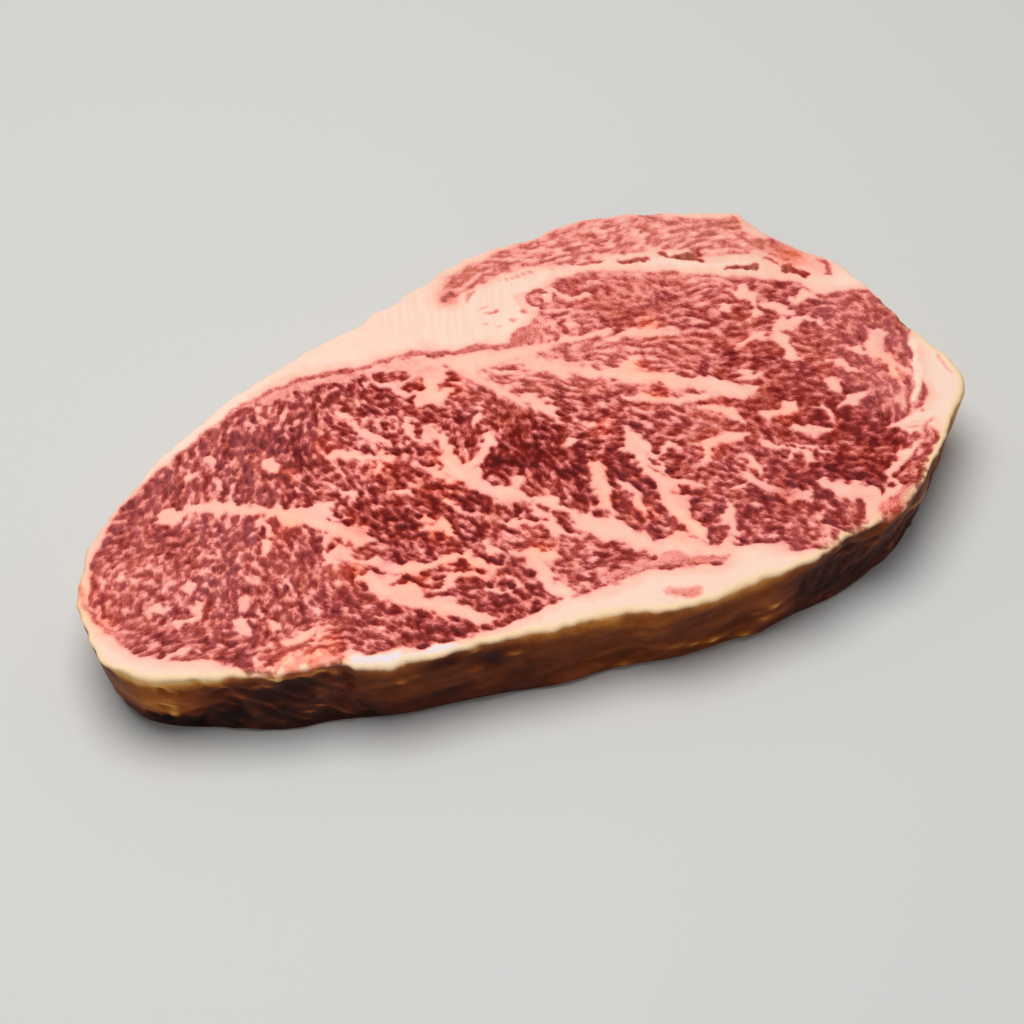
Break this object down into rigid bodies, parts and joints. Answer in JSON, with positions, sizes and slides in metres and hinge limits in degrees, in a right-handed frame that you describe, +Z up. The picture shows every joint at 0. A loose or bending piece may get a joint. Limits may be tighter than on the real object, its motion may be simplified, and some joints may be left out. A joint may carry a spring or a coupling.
{
  "type": "raw ribeye steak",
  "caption": "Thick boneless slice of well-marbled raw beef with a fat cap along one side, lying flat on a cut face.",
  "frame": {"origin": "on the resting face, under the middle of the slice's box", "axes": "+X along the slice's length towards its blunt end, +Y across it towards the fat cap, +Z up through its thickness"},
  "size_m": [0.27, 0.153, 0.028],
  "materials": {
    "raw_beef": "moist raw meat, red lean with cream fat, satin"
  },
  "bodies": {
    "root": {"steak": "raw_beef"}
  },
  "joints": []
}
